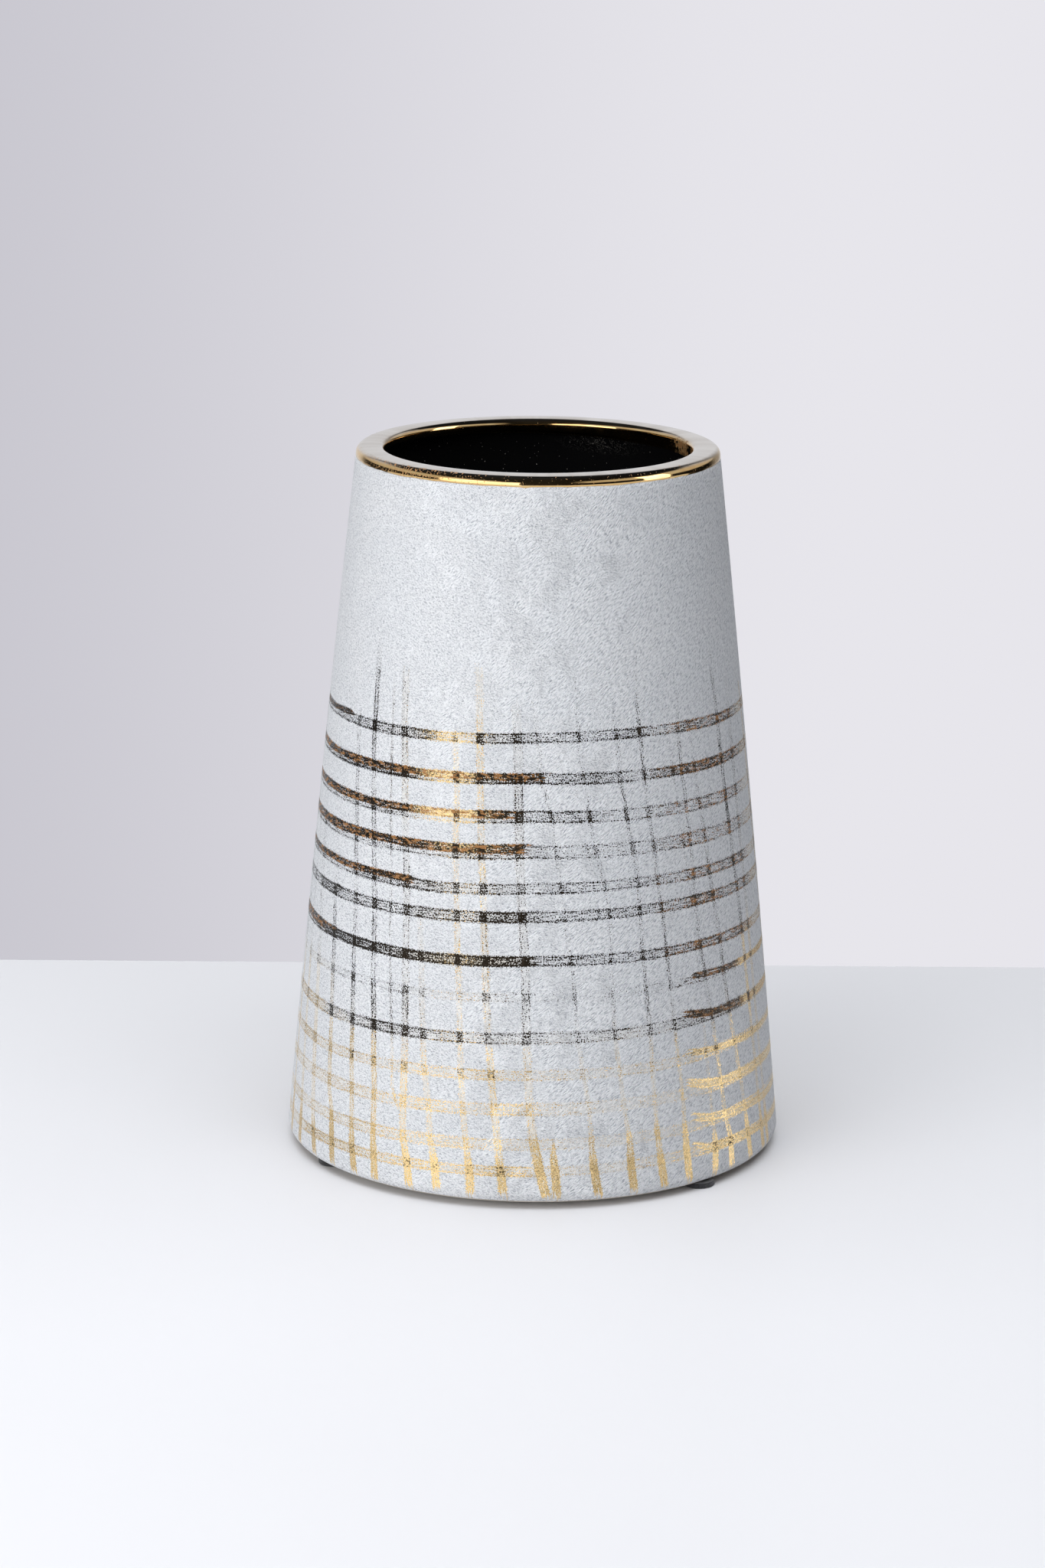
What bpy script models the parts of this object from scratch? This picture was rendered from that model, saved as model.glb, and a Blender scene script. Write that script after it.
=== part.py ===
"""Tapered porcelain vase with a thick gold lip, on four stick-on foot pads.

The clay body is one slip-cast shell.  Everything fired onto it is a thin skin of its own: the
matt glaze outside, the black gloss glaze inside and the gold lustre over the lip.  The origin is
the middle of the surface that the vase stands on, and +Z is the vase's axis.
"""
import math

import bpy
import bmesh

MM = 0.001

# Driving dimensions
BODY_HEIGHT = 290.0 * MM          # foot ring to lip
BASE_RADIUS = 103.1 * MM          # finished wall, produced down to the foot
TOP_RADIUS = 73.8 * MM            # finished wall, produced up to the lip
WALL_BOW = 0.7 * MM               # how far the wall swells past a straight cone at half height
WALL = 7.0 * MM                   # finished wall, glaze to glaze
FLOOR = 9.0 * MM                  # foot ring to the finished inner floor
FLOOR_CORNER = 14.0 * MM          # inner radius between floor and wall
FOOT_CORNER = 4.0 * MM            # outer radius between wall and foot

# Lip
MOUTH_RADIUS = 62.5 * MM
LIP_DEPTH = 7.0 * MM              # the thick lip's inner face, top to underside
LIP_OUTER_ROUND = 3.1 * MM
LIP_INNER_ROUND = 2.3 * MM
LIP_LOWER_ROUND = 1.5 * MM
LIP_FILLET = 2.0 * MM             # hollow corner between the lip's underside and the wall
LUSTRE_BAND = 3.9 * MM            # how far the gold runs down the outside

# Foot
FOOT_RING_INNER = 84.0 * MM
FOOT_RECESS = 2.5 * MM
FOOT_RECESS_SLOPE = 4.0 * MM
GLAZE_END = math.radians(50.0)    # how far round the foot corner the outer glaze runs
BARE_CLAY = math.radians(65.0)    # where the unglazed foot ring starts

# Skins
SKIN = 0.5 * MM
GAP = 0.3 * MM                    # between pieces that touch
CLAY_DEPTH = SKIN + GAP           # the clay lies this far under the finished surface

# Foot pads
PAD_RADIUS = 6.5 * MM
PAD_THICKNESS = 2.2 * MM
PAD_EDGE = 0.4 * MM
PAD_PLACES = (                    # direction round the vase from the front, distance from the axis
    (44.5, 96.5 * MM),
    (-61.0, 93.5 * MM),
    (129.5, 94.5 * MM),
    (-145.5, 95.0 * MM),
)

# Facets
TURN_STEPS = 48
WALL_STEPS = 5
PAD_SIDES = 24
MERGE = 0.00001

FOOT_Z = PAD_THICKNESS + GAP
TOP_Z = FOOT_Z + BODY_HEIGHT


def wall_radius(z):
    """Radius of the finished outer wall at height z."""
    t = (z - FOOT_Z) / BODY_HEIGHT
    return BASE_RADIUS + (TOP_RADIUS - BASE_RADIUS) * t + WALL_BOW * 4.0 * t * (1.0 - t)


def arc(centre, radius, start, end, steps):
    """Points on an arc in the (radius, height) plane; angles in degrees from straight out."""
    points = []
    for i in range(steps + 1):
        angle = math.radians(start + (end - start) * i / steps)
        points.append((centre[0] + radius * math.cos(angle), centre[1] + radius * math.sin(angle)))
    return points


def outer_wall(depth, top, foot_angle):
    """The outer wall from height top down and round the foot corner, depth under the surface."""
    centre = (wall_radius(FOOT_Z + FOOT_CORNER) - FOOT_CORNER, FOOT_Z + FOOT_CORNER)
    points = []
    for i in range(WALL_STEPS):
        z = top + (centre[1] - top) * i / WALL_STEPS
        points.append((wall_radius(z) - depth, z))
    return points + arc(centre, FOOT_CORNER - depth, 0.0, -math.degrees(foot_angle), 4)


def lip(depth, outer_end):
    """The lip from under its inner edge, up its face, over the top and down to outer_end."""
    lower = (MOUTH_RADIUS + LIP_LOWER_ROUND, TOP_Z - LIP_DEPTH + LIP_LOWER_ROUND)
    inner = (MOUTH_RADIUS + LIP_INNER_ROUND, TOP_Z - LIP_INNER_ROUND)
    outer = (wall_radius(TOP_Z - LIP_OUTER_ROUND) - LIP_OUTER_ROUND, TOP_Z - LIP_OUTER_ROUND)
    points = arc(lower, LIP_LOWER_ROUND - depth, 270.0, 180.0, 3)
    points += arc(inner, LIP_INNER_ROUND - depth, 180.0, 90.0, 4)
    points += arc(outer, LIP_OUTER_ROUND - depth, 90.0, 0.0, 4)
    points.append((wall_radius(outer_end) - depth, outer_end))
    return points


def inner_wall(depth, lip_end):
    """The inside from the middle of the floor, up the wall and in under the lip to lip_end."""
    floor_z = FOOT_Z + FLOOR
    low = floor_z + FLOOR_CORNER
    high = TOP_Z - LIP_DEPTH - LIP_FILLET
    points = [(0.0, floor_z - depth)]
    corner = (wall_radius(low) - WALL - FLOOR_CORNER, low)
    points += arc(corner, FLOOR_CORNER + depth, -90.0, 0.0, 5)
    for i in range(1, WALL_STEPS):
        z = low + (high - low) * i / WALL_STEPS
        points.append((wall_radius(z) - WALL + depth, z))
    under_lip = (wall_radius(high) - WALL - LIP_FILLET, high)
    points += arc(under_lip, LIP_FILLET + depth, 0.0, 90.0, 3)
    points.append((lip_end, TOP_Z - LIP_DEPTH + depth))
    return points


def turned(name, outline, closed):
    """Turn an outline about Z.  It runs down its outer side; an open one starts and ends on Z."""
    mesh = bpy.data.meshes.new(name)
    bm = bmesh.new()
    verts = [bm.verts.new((radius, 0.0, z)) for radius, z in outline]
    for first, second in zip(verts, verts[1:]):
        bm.edges.new((first, second))
    if closed:
        bm.edges.new((verts[-1], verts[0]))
    bm.to_mesh(mesh)
    bm.free()
    piece = bpy.data.objects.new(name, mesh)
    bpy.context.scene.collection.objects.link(piece)
    screw = piece.modifiers.new("turn", "SCREW")
    screw.axis = "Z"
    screw.angle = 2.0 * math.pi
    screw.steps = TURN_STEPS
    screw.render_steps = TURN_STEPS
    screw.use_merge_vertices = True
    screw.merge_threshold = MERGE
    screw.use_smooth_shade = True
    return piece


def skin(name, path):
    """A turned skin: path(depth) gives the finished surface at 0 and its back at SKIN."""
    return turned(name, path(0.0) + path(SKIN)[::-1], closed=True)


def clay_body():
    """The slip-cast shell: inner floor and wall, lip, outer wall, bare foot ring and recess."""
    outline = inner_wall(CLAY_DEPTH, MOUTH_RADIUS + LIP_LOWER_ROUND + GAP)
    outline += lip(CLAY_DEPTH, TOP_Z - LUSTRE_BAND)
    outline += outer_wall(CLAY_DEPTH, TOP_Z - LUSTRE_BAND, BARE_CLAY)[1:]
    ring_outer = outline[-1][0]
    outline += [
        (ring_outer, FOOT_Z),
        (FOOT_RING_INNER, FOOT_Z),
        (FOOT_RING_INNER - FOOT_RECESS_SLOPE, FOOT_Z + FOOT_RECESS),
        (0.0, FOOT_Z + FOOT_RECESS),
    ]
    return turned("clay_body", outline, closed=False)


def outer_glaze():
    """The matt glaze, from the lip's gold down to the foot corner."""
    return skin("outer_glaze", lambda depth: outer_wall(depth, TOP_Z - LUSTRE_BAND - GAP, GLAZE_END))


def rim_lustre():
    """The gold fired over the lip."""
    return skin("rim_lustre", lambda depth: lip(depth, TOP_Z - LUSTRE_BAND))


def inner_glaze():
    """The black gloss lining.  It crosses the axis, so its outline starts and ends there."""
    lip_end = MOUTH_RADIUS + LIP_LOWER_ROUND + GAP
    outline = inner_wall(0.0, lip_end) + inner_wall(SKIN, lip_end)[::-1]
    return turned("inner_glaze", outline, closed=False)


def pad_mesh():
    """One round pad with its rim softened, standing on z = 0."""
    mesh = bpy.data.meshes.new("foot_pad")
    bm = bmesh.new()
    bmesh.ops.create_cone(
        bm, cap_ends=True, segments=PAD_SIDES, radius1=PAD_RADIUS, radius2=PAD_RADIUS,
        depth=PAD_THICKNESS)
    bmesh.ops.translate(bm, verts=bm.verts, vec=(0.0, 0.0, PAD_THICKNESS / 2.0))
    rims = [edge for edge in bm.edges if abs(edge.verts[0].co.z - edge.verts[1].co.z) < MERGE]
    bmesh.ops.bevel(bm, geom=rims, offset=PAD_EDGE, segments=1, affect="EDGES")
    bm.to_mesh(mesh)
    bm.free()
    mesh.shade_smooth()
    mesh.set_sharp_from_angle(angle=math.radians(40.0))
    return mesh


def foot_pads():
    """Four pads under the foot ring, stuck on by eye, so their places are a little uneven."""
    mesh = pad_mesh()
    pads = []
    for number, (direction, distance) in enumerate(PAD_PLACES, start=1):
        pad = bpy.data.objects.new("foot_pad_%d" % number, mesh)
        bpy.context.scene.collection.objects.link(pad)
        turn = math.radians(direction)
        pad.location = (distance * math.sin(turn), -distance * math.cos(turn), 0.0)
        pads.append(pad)
    return pads


def material(name, colour, roughness, metallic=0.0):
    """A Principled material."""
    made = bpy.data.materials.new(name)
    made.use_nodes = True
    shader = made.node_tree.nodes["Principled BSDF"]
    shader.inputs["Base Color"].default_value = (*colour, 1.0)
    shader.inputs["Roughness"].default_value = roughness
    shader.inputs["Metallic"].default_value = metallic
    return made


def main():
    for old in list(bpy.data.objects):
        bpy.data.objects.remove(old, do_unlink=True)

    vase = bpy.data.objects.new("vase", None)
    bpy.context.scene.collection.objects.link(vase)

    felt = material("foot_pad", (0.02, 0.02, 0.022), 0.95)
    pieces = [
        (clay_body(), material("clay", (0.74, 0.70, 0.64), 0.85)),
        (outer_glaze(), material("matt_glaze", (0.62, 0.64, 0.68), 0.6)),
        (inner_glaze(), material("black_glaze", (0.008, 0.008, 0.009), 0.08)),
        (rim_lustre(), material("gold_lustre", (0.78, 0.55, 0.24), 0.1, 1.0)),
    ]
    pieces += [(pad, felt) for pad in foot_pads()]
    for piece, finish in pieces:
        piece.parent = vase
        if not piece.data.materials:
            piece.data.materials.append(finish)


main()
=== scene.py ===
"""Looks of the tapered porcelain vase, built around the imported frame.

Metres, +Z up, the vase's axis on Z, the viewer on the -Y side.  A direction round the vase is in
degrees from the front (-Y), positive towards +X.  Stroke heights are millimetres above the foot.
"""
import math
import random

import bmesh
import bpy
import numpy as np
from mathutils import Matrix, Vector


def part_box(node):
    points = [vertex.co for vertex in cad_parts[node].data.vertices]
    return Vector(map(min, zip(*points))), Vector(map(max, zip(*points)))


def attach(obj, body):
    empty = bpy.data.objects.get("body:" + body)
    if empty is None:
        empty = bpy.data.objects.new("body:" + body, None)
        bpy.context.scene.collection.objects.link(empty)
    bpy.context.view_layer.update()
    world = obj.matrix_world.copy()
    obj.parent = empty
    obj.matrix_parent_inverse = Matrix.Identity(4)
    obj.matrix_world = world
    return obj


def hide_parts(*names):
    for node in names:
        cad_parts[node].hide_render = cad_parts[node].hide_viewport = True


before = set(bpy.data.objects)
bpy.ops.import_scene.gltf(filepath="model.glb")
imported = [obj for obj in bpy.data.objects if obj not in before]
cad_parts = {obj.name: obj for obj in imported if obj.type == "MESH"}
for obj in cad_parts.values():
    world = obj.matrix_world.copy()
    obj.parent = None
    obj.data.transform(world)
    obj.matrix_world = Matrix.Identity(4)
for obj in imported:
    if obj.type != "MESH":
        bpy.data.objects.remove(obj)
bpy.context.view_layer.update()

MM = 0.001

# Heights that the frame gives
FOOT_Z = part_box("clay_body")[0].z
TOP_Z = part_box("rim_lustre")[1].z
BAND_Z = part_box("outer_glaze")[1].z           # where the matt glaze meets the gold

# Sections of the turned pieces, as the frame has them
FOOT_CORNER = 4.0 * MM
GLAZE_TURN = 50.0                             # degrees of the foot corner that are glazed
CLAY_TURN = 65.0                              # degrees of it where the flat foot ring starts
LIP_OUTER_ROUND = 3.1 * MM
LIP_INNER_ROUND = 2.3 * MM
LIP_LOWER_ROUND = 1.5 * MM
LIP_FILLET = 2.0 * MM
LIP_UNDERSIDE = 7.0 * MM                      # below the top
WALL = 7.0 * MM
FLOOR = 9.0 * MM
FLOOR_CORNER = 14.0 * MM
FOOT_RING_INNER = 84.0 * MM
FOOT_RECESS = 2.5 * MM
FOOT_RECESS_SLOPE = 4.0 * MM

# Hand-made unevenness of the lip
LIP_DEPTH = 6.1 * MM                          # middle value of the lip's inner face
LIP_DEPTH_SWING = 1.8 * MM                    # deeper on the right, shallower on the left
COAT = 0.45 * MM                              # thickness of a fired coat
LUSTRE_PROUD = 0.05 * MM                      # how far the gold stands over the glaze under it

# Mesh density
GLAZE_COLUMNS = 540
PLAIN_COLUMNS = 288
STROKE_TOP = 228.0                            # no stroke reaches higher, in mm above the foot
STROKE_ROW = 1.2                              # row height where there are strokes, in mm
PLAIN_ROW = 3.0
UNROLL_RADIUS = 92.0 * MM                     # the wall's materials are laid flat at this radius


# ------------------------------------------------------------------ turned shapes

def node_points(name):
    """Radius and height of every vertex of a CAD node."""
    points = np.array([vertex.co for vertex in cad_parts[name].data.vertices], float)
    return np.hypot(points[:, 0], points[:, 1]), points[:, 2]


def fitted_wall():
    """The outer wall's radius against height, as the curve through the CAD wall's points."""
    radius, height = node_points("outer_glaze")
    levels = np.unique(np.round(height[height > FOOT_Z + FOOT_CORNER - 0.1 * MM], 6))
    widest = [radius[np.abs(height - level) < 0.01 * MM].max() for level in levels]
    return np.polyfit(levels, widest, 2)


WALL_CURVE = fitted_wall()
MOUTH_RADIUS = node_points("rim_lustre")[0].min()


def wall_radius(z):
    return np.polyval(WALL_CURVE, z)


def arc(centre, radius, start, end, steps):
    """Points on an arc in the (radius, height) plane; angles in degrees from straight out."""
    points = []
    for i in range(steps + 1):
        angle = math.radians(start + (end - start) * i / steps)
        points.append((centre[0] + radius * math.cos(angle), centre[1] + radius * math.sin(angle)))
    return points


def directions(columns):
    """Directions round the vase of a mesh's columns, in degrees, from -180 up."""
    return -180.0 + 360.0 * np.arange(columns) / columns


def wobble(around, seed, waves=(2, 3, 5, 9)):
    """A smooth periodic unevenness round the vase, about -1 to 1."""
    draw = random.Random(seed)
    total = np.zeros_like(around)
    for count in waves:
        total += draw.uniform(0.5, 1.0) * np.sin(np.radians(around * count) + draw.uniform(0.0, 6.28))
    return total / len(waves)


def lip_depth(around):
    """Height of the lip's inner face, which runs deeper on the right."""
    return LIP_DEPTH + LIP_DEPTH_SWING * np.sin(np.radians(around)) + 0.15 * MM * wobble(around, 4)


def add_object(name, data):
    made = bpy.data.objects.new(name, data)
    bpy.context.scene.collection.objects.link(made)
    return made


def lathe(name, radius, height, around, loop=False):
    """A turned mesh from (rows, columns) arrays; a row of no radius becomes one point."""
    rows, columns = radius.shape
    turn = np.radians(around)
    points, index = [], []
    for i in range(rows):
        start = len(points)
        if radius[i].max() < 1e-9:
            points.append((0.0, 0.0, height[i].mean()))
            index.append([start] * columns)
            continue
        ring = np.column_stack((radius[i] * np.sin(turn), -radius[i] * np.cos(turn), height[i]))
        points.extend(map(tuple, ring))
        index.append(list(range(start, start + columns)))
    faces = []
    for i in range(rows if loop else rows - 1):
        upper, lower = index[i], index[(i + 1) % rows]
        for j in range(columns):
            k = (j + 1) % columns
            corners = [upper[j], lower[j], lower[k], upper[k]]
            faces.append(tuple(dict.fromkeys(corners)))
    mesh = bpy.data.meshes.new(name)
    mesh.from_pydata(points, [], faces)
    mesh.validate()
    mesh.shade_smooth()
    return add_object(name, mesh)


def add_value(piece, name, values):
    """Store one number for each vertex, for the materials to read."""
    layer = piece.data.attributes.new(name, "FLOAT", "POINT")
    layer.data.foreach_set("value", np.asarray(values, np.float32).ravel())


def rows_round(values, around):
    """One row round the vase for each value, which may itself change round it."""
    return np.array([value + 0.0 * around for value in values])


def same_round(points, around):
    """(radius, height) arrays of an outline that is the same all round."""
    radii, heights = zip(*points)
    return rows_round(radii, around), rows_round(heights, around)


# ------------------------------------------------------------------ brushed gold strokes

RING_STATIONS = (-60.0, -25.0, 0.0, 30.0, 60.0)
RINGS = (  # heights at the stations, width in mm, how much gold is left of the dry first pass
    ((185.2, 186.2, 188.0, 188.0, 186.5), 4.2, 0.50),
    ((168.7, 170.2, 171.8, 170.8, 170.0), 4.4, 0.56),
    ((153.8, 154.8, 156.5, 155.5, 154.8), 4.9, 0.44),
    ((139.8, 141.0, 142.3, 142.0, 141.2), 5.5, 0.42),
    ((125.8, 126.0, 128.0, 128.0, 127.0), 4.4, 0.46),
    ((114.2, 115.0, 116.5, 116.8, 116.2), 4.5, 0.52),
    ((96.5, 97.2, 98.8, 98.5, 98.0), 4.2, 0.52),
    ((82.2, 82.8, 84.2, 84.5, 85.0), 3.4, 0.28),
    ((65.0, 66.2, 67.5, 68.0, 69.0), 4.6, 0.46),
    ((50.0, 51.5, 52.5, 53.0, 54.0), 4.2, 0.40),
    ((36.5, 37.5, 38.8, 39.2, 39.5), 4.9, 0.40),
    ((22.2, 23.5, 24.5, 25.0, 25.5), 4.6, 0.39),
    ((11.5, 12.8, 13.5, 14.2, 13.8), 4.1, 0.48),
)
WET_PASSES = (  # width in mm, how much gold, how burnt, then its line as (direction, height)
    (2.4, 0.80, 0.5, ((-175, 187.5), (-120, 186.5), (-75, 186.0), (-60, 187.5))),
    (3.0, 0.86, 1.0, ((-175, 170.0), (-110, 169.5), (-60, 170.0), (-25, 171.2), (2.5, 172.4))),
    (3.2, 0.86, 1.0, ((-170, 155.5), (-110, 154.5), (-60, 154.9), (-25, 155.9), (-6, 157.2))),
    (3.7, 0.88, 1.0, ((-165, 142.0), (-110, 141.0), (-60, 141.0), (-25, 142.3), (-2.5, 143.6))),
    (2.8, 0.84, 0.9, ((-170, 128.0), (-110, 127.0), (-60, 126.8), (-32, 127.4))),
    (1.2, 0.90, 0.0, ((-62, 116.2), (-57, 116.0))),
    (3.8, 0.88, 0.9, ((-160, 99.5), (-110, 98.0), (-75, 97.8), (-59, 97.4))),
    (4.2, 0.72, 0.0, ((-66, 97.0), (-50, 96.8), (-25, 97.4), (0.5, 98.8))),
    (0.8, 0.90, 0.0, ((37, 83.0), (42, 86.0))),
    (2.6, 0.72, 0.6, ((42, 86.0), (47, 85.6), (63, 85.2), (120, 84.5), (165, 84.0))),
    (3.0, 0.80, 0.6, ((38.5, 72.0), (42, 70.7), (48, 69.6), (61, 69.0), (110, 68.0), (150, 67.5))),
    (2.6, 0.66, 0.1, ((40, 55.5), (44, 54.6), (52, 53.9), (70, 53.6), (120, 52.5), (158, 52.0))),
    (3.6, 0.66, 0.0, ((39, 43.5), (43, 41.5), (50, 39.8), (70, 39.5), (115, 38.5), (145, 38.0))),
    (3.2, 0.60, 0.0, ((40.5, 28.5), (45, 26.6), (55, 25.6), (70, 24.2), (120, 24.0), (155, 23.5))),
    (3.0, 0.66, 0.0, ((40.5, 16.8), (45, 14.6), (55, 13.8), (70, 12.8), (120, 12.5), (150, 12.0))),
)
UPRIGHTS = (  # width in mm, how much gold, then its line as (direction, height), top to bottom
    (2.7, 0.50, ((-50, 218), (-49.5, 185), (-48.7, 170), (-47.8, 160), (-46.3, 140), (-45, 125),
                 (-44, 110), (-43.3, 90), (-42, 70), (-41, 50), (-40.3, 40), (-39.8, 20),
                 (-38.5, 3))),
    (3.2, 0.42, ((-39, 210), (-38.3, 190), (-37, 170), (-36, 150), (-34.5, 130), (-33.8, 115),
                 (-33.3, 97), (-32.8, 83), (-32.2, 66), (-31.5, 25), (-30, 14), (-29, 3))),
    (1.2, 0.40, ((-43, 205), (-42.3, 183), (-41.3, 160), (-40, 140), (-39, 120), (-38.2, 100),
                 (-37.2, 80), (-36, 64), (-35, 42), (-33.5, 35))),
    (2.5, 0.47, ((-57, 188), (-55.8, 170), (-54.3, 150), (-52.8, 130), (-51.3, 110), (-50.6, 90),
                 (-49.5, 70), (-48.6, 50), (-47.6, 35), (-46.5, 15), (-45, 3))),
    (2.6, 0.46, ((-62, 132), (-61.5, 115), (-60, 95), (-58.5, 70), (-57.4, 50), (-56.5, 33),
                 (-54.8, 25), (-53, 3))),
    (3.4, 0.34, ((-75, 160), (-73, 150), (-70.5, 115), (-69, 97), (-67, 72), (-65.5, 45),
                 (-63.7, 22), (-61, 3))),
    (2.6, 0.32, ((-79, 150), (-76, 100), (-73, 50), (-70, 3))),
    (2.6, 0.34, ((-30, 115), (-29, 100), (-28, 80), (-27.3, 66), (-26.5, 52), (-25, 38),
                 (-24.3, 25), (-23, 15), (-22, 4))),
    (2.4, 0.36, ((-22.3, 188), (-21, 165), (-20.7, 140), (-19.6, 115), (-19, 98), (-18.2, 83),
                 (-17.8, 67), (-17.2, 52), (-16.5, 38), (-15.5, 25), (-14.5, 13), (-14, 3))),
    (2.8, 0.40, ((-16, 215), (-15.2, 185), (-14.3, 160), (-13.9, 142), (-13, 127), (-12.8, 116),
                 (-12, 98), (-11.5, 83), (-10.8, 68), (-9.8, 50), (-9.2, 40), (-8.4, 30),
                 (-7.2, 12), (-6.5, 3))),
    (3.8, 0.40, ((-5.5, 201), (-4.7, 180), (-4.4, 165), (-4, 145), (-3.5, 128), (-3, 116),
                 (-2.2, 98), (-1.9, 84), (-1.7, 68), (-0.8, 38), (0.2, 25), (1.5, 14), (3, 3))),
    (2.2, 0.42, ((-0.7, 202), (0.3, 188), (1.5, 171), (4.2, 156), (5.5, 140), (6.7, 127),
                 (7.6, 115), (8.7, 101), (9.8, 84), (10.3, 68), (11.7, 52), (13, 38), (13.4, 25),
                 (13.9, 14), (15, 3))),
    (1.6, 0.70, ((4.5, 25), (5.5, 3))),
    (2.4, 0.44, ((10.8, 210), (11.3, 190), (11.8, 178), (12.6, 171), (14.1, 156), (15.8, 141),
                 (17.9, 127), (18.8, 117), (18.9, 99), (19.2, 84), (19.5, 68), (20.6, 52),
                 (21.4, 38), (22.6, 25), (22.8, 14), (23.5, 3))),
    (1.4, 0.30, ((10.2, 171), (11.5, 156), (13.5, 141), (14.7, 129), (16, 117), (17, 100),
                 (17.8, 84))),
    (2.6, 0.50, ((21.2, 203), (22, 186), (22.7, 170), (24, 157), (25.8, 141), (26.8, 127),
                 (27.4, 99), (28.8, 69), (29, 52), (29.8, 25), (30.5, 14), (31.3, 3))),
    (2.4, 0.54, ((28.5, 222), (28.2, 205), (29, 186), (29.8, 170), (30.5, 156), (31.9, 142),
                 (32.5, 130), (34, 108), (34.4, 98), (35, 84), (35.8, 68), (36.4, 56), (37, 45),
                 (37.8, 15), (38.3, 3))),
    (2.0, 0.34, ((36.5, 200), (37.6, 186), (39.2, 170), (40.2, 155), (41.6, 141), (42.5, 127),
                 (43.5, 116), (44, 98), (44.5, 84), (45, 68), (46, 38), (47, 14), (46.4, 3))),
    (2.6, 0.50, ((42, 205), (41.7, 187), (42.2, 170), (43, 160), (43.2, 154), (43.7, 142),
                 (44.4, 127), (44.5, 117), (45.5, 97), (46.5, 86), (47.2, 76), (48, 70),
                 (49.3, 52), (51, 25), (52.7, 15), (52.5, 3))),
    (2.4, 0.46, ((57.8, 214), (58.3, 200), (59.2, 186), (59.8, 170), (60.8, 152), (61.5, 142),
                 (62.3, 128), (63.5, 116), (64.5, 98), (66, 60), (68.5, 3))),
    (2.4, 0.40, ((45.5, 190), (47.2, 170), (48.3, 155), (49.7, 141), (50.4, 128), (51.5, 116),
                 (53, 98), (55, 68), (57, 52), (59.5, 25), (61, 3))),
    (2.6, 0.34, ((66, 205), (68, 130), (70, 60), (72, 3))),
)
BACK_FROM, BACK_TO, BACK_PITCH = 79.0, 274.0, 7.6   # the uprights that the front view hides


def back_uprights():
    """Uprights of the same hand for the side away from the viewer."""
    draw = random.Random(11)
    strokes = []
    start = BACK_FROM
    while start < BACK_TO:
        top = draw.uniform(176.0, 221.0)
        lean = draw.uniform(8.0, 14.0)
        line = []
        for share in (0.0, 0.25, 0.5, 0.75, 1.0):
            across = start + lean * share ** 0.9 + draw.uniform(-0.4, 0.4)
            line.append((across, top + (3.0 - top) * share))
        strokes.append((draw.uniform(1.6, 3.2), draw.uniform(0.34, 0.60), tuple(line)))
        start += BACK_PITCH * draw.uniform(0.7, 1.3)
    return strokes


def capsule(offset, beyond, width):
    """Distance outside a stroke of rounded ends; negative inside it."""
    half = width / 2.0
    return np.hypot(offset, np.maximum(beyond + half, 0.0)) - half


def ended_stroke(side, end, wide, gold, **others):
    """What the material needs of a stroke with two ends."""
    return {
        "near": capsule(side, end, wide), "edge": np.abs(side) - wide / 2.0, "side": side,
        "end": np.clip(end, -20.0, 20.0), "gold": gold, **others}


def nearest(strokes):
    """Of several {name: values} strokes, the values of the one whose edge is nearest."""
    pick = np.stack([stroke["near"] for stroke in strokes]).argmin(axis=0)[None]
    return {
        name: np.take_along_axis(np.stack([stroke[name] for stroke in strokes]), pick, 0)[0]
        for name in strokes[0] if name != "near"
    }


def step(values, low, high):
    """0 below low, 1 above high and a smooth rise between them."""
    share = np.clip((values - low) / (high - low), 0.0, 1.0)
    return share * share * (3.0 - 2.0 * share)


def first_passes(around, height):
    """The dry rings that go all the way round; the brush is fullest on the left."""
    strokes = []
    drier = 0.34 - 0.22 * step(height, 62.0, 84.0)
    full = 1.14 - drier * step(around, -7.0, 7.0) + (drier + 0.10) * step(around, 30.0, 50.0)
    full = full - 0.24 * step(around, 60.0, 75.0)
    burnt = 0.9 * step(around, 26.0, 46.0) * step(height, 76.0, 90.0)
    for number, (heights, width, gold) in enumerate(RINGS):
        middle = np.interp(around, RING_STATIONS, heights, period=360.0)
        middle = middle + 0.30 * wobble(around, 20 + number)
        wide = width * (1.0 + 0.10 * wobble(around, 40 + number, (3, 7, 11)))
        left = gold * full * (1.0 + 0.30 * wobble(around, 60 + number, (4, 7, 13, 19)))
        side = height - middle
        edge = np.abs(side) - wide / 2.0
        strokes.append({"near": edge, "edge": edge, "side": side, "gold": left, "burnt": burnt})
    return nearest(strokes)


def second_passes(around, height, arc_mm):
    """The wet second passes, each with two ends."""
    strokes = []
    for number, (width, gold, burnt, line) in enumerate(WET_PASSES):
        across, heights = zip(*line)
        middle = np.interp(around, across, heights) + 0.25 * wobble(around, 80 + number, (5, 9, 17))
        wide = width * (1.0 + 0.16 * wobble(around, 90 + number, (7, 13, 23)))
        end = np.maximum(across[0] - around, around - across[-1]) * arc_mm
        side = height - middle
        level = np.ones_like(around)
        strokes.append(ended_stroke(side, end, wide, gold * level, burnt=burnt * level))
    return nearest(strokes)


TIP = 22.0            # the uprights end in solid tips, this many mm above the foot
TIP_WIDTH = 3.4
TIP_GOLD = 0.80
START_FADE = 26.0     # an upright starts dry at its top, over this many mm


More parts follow.
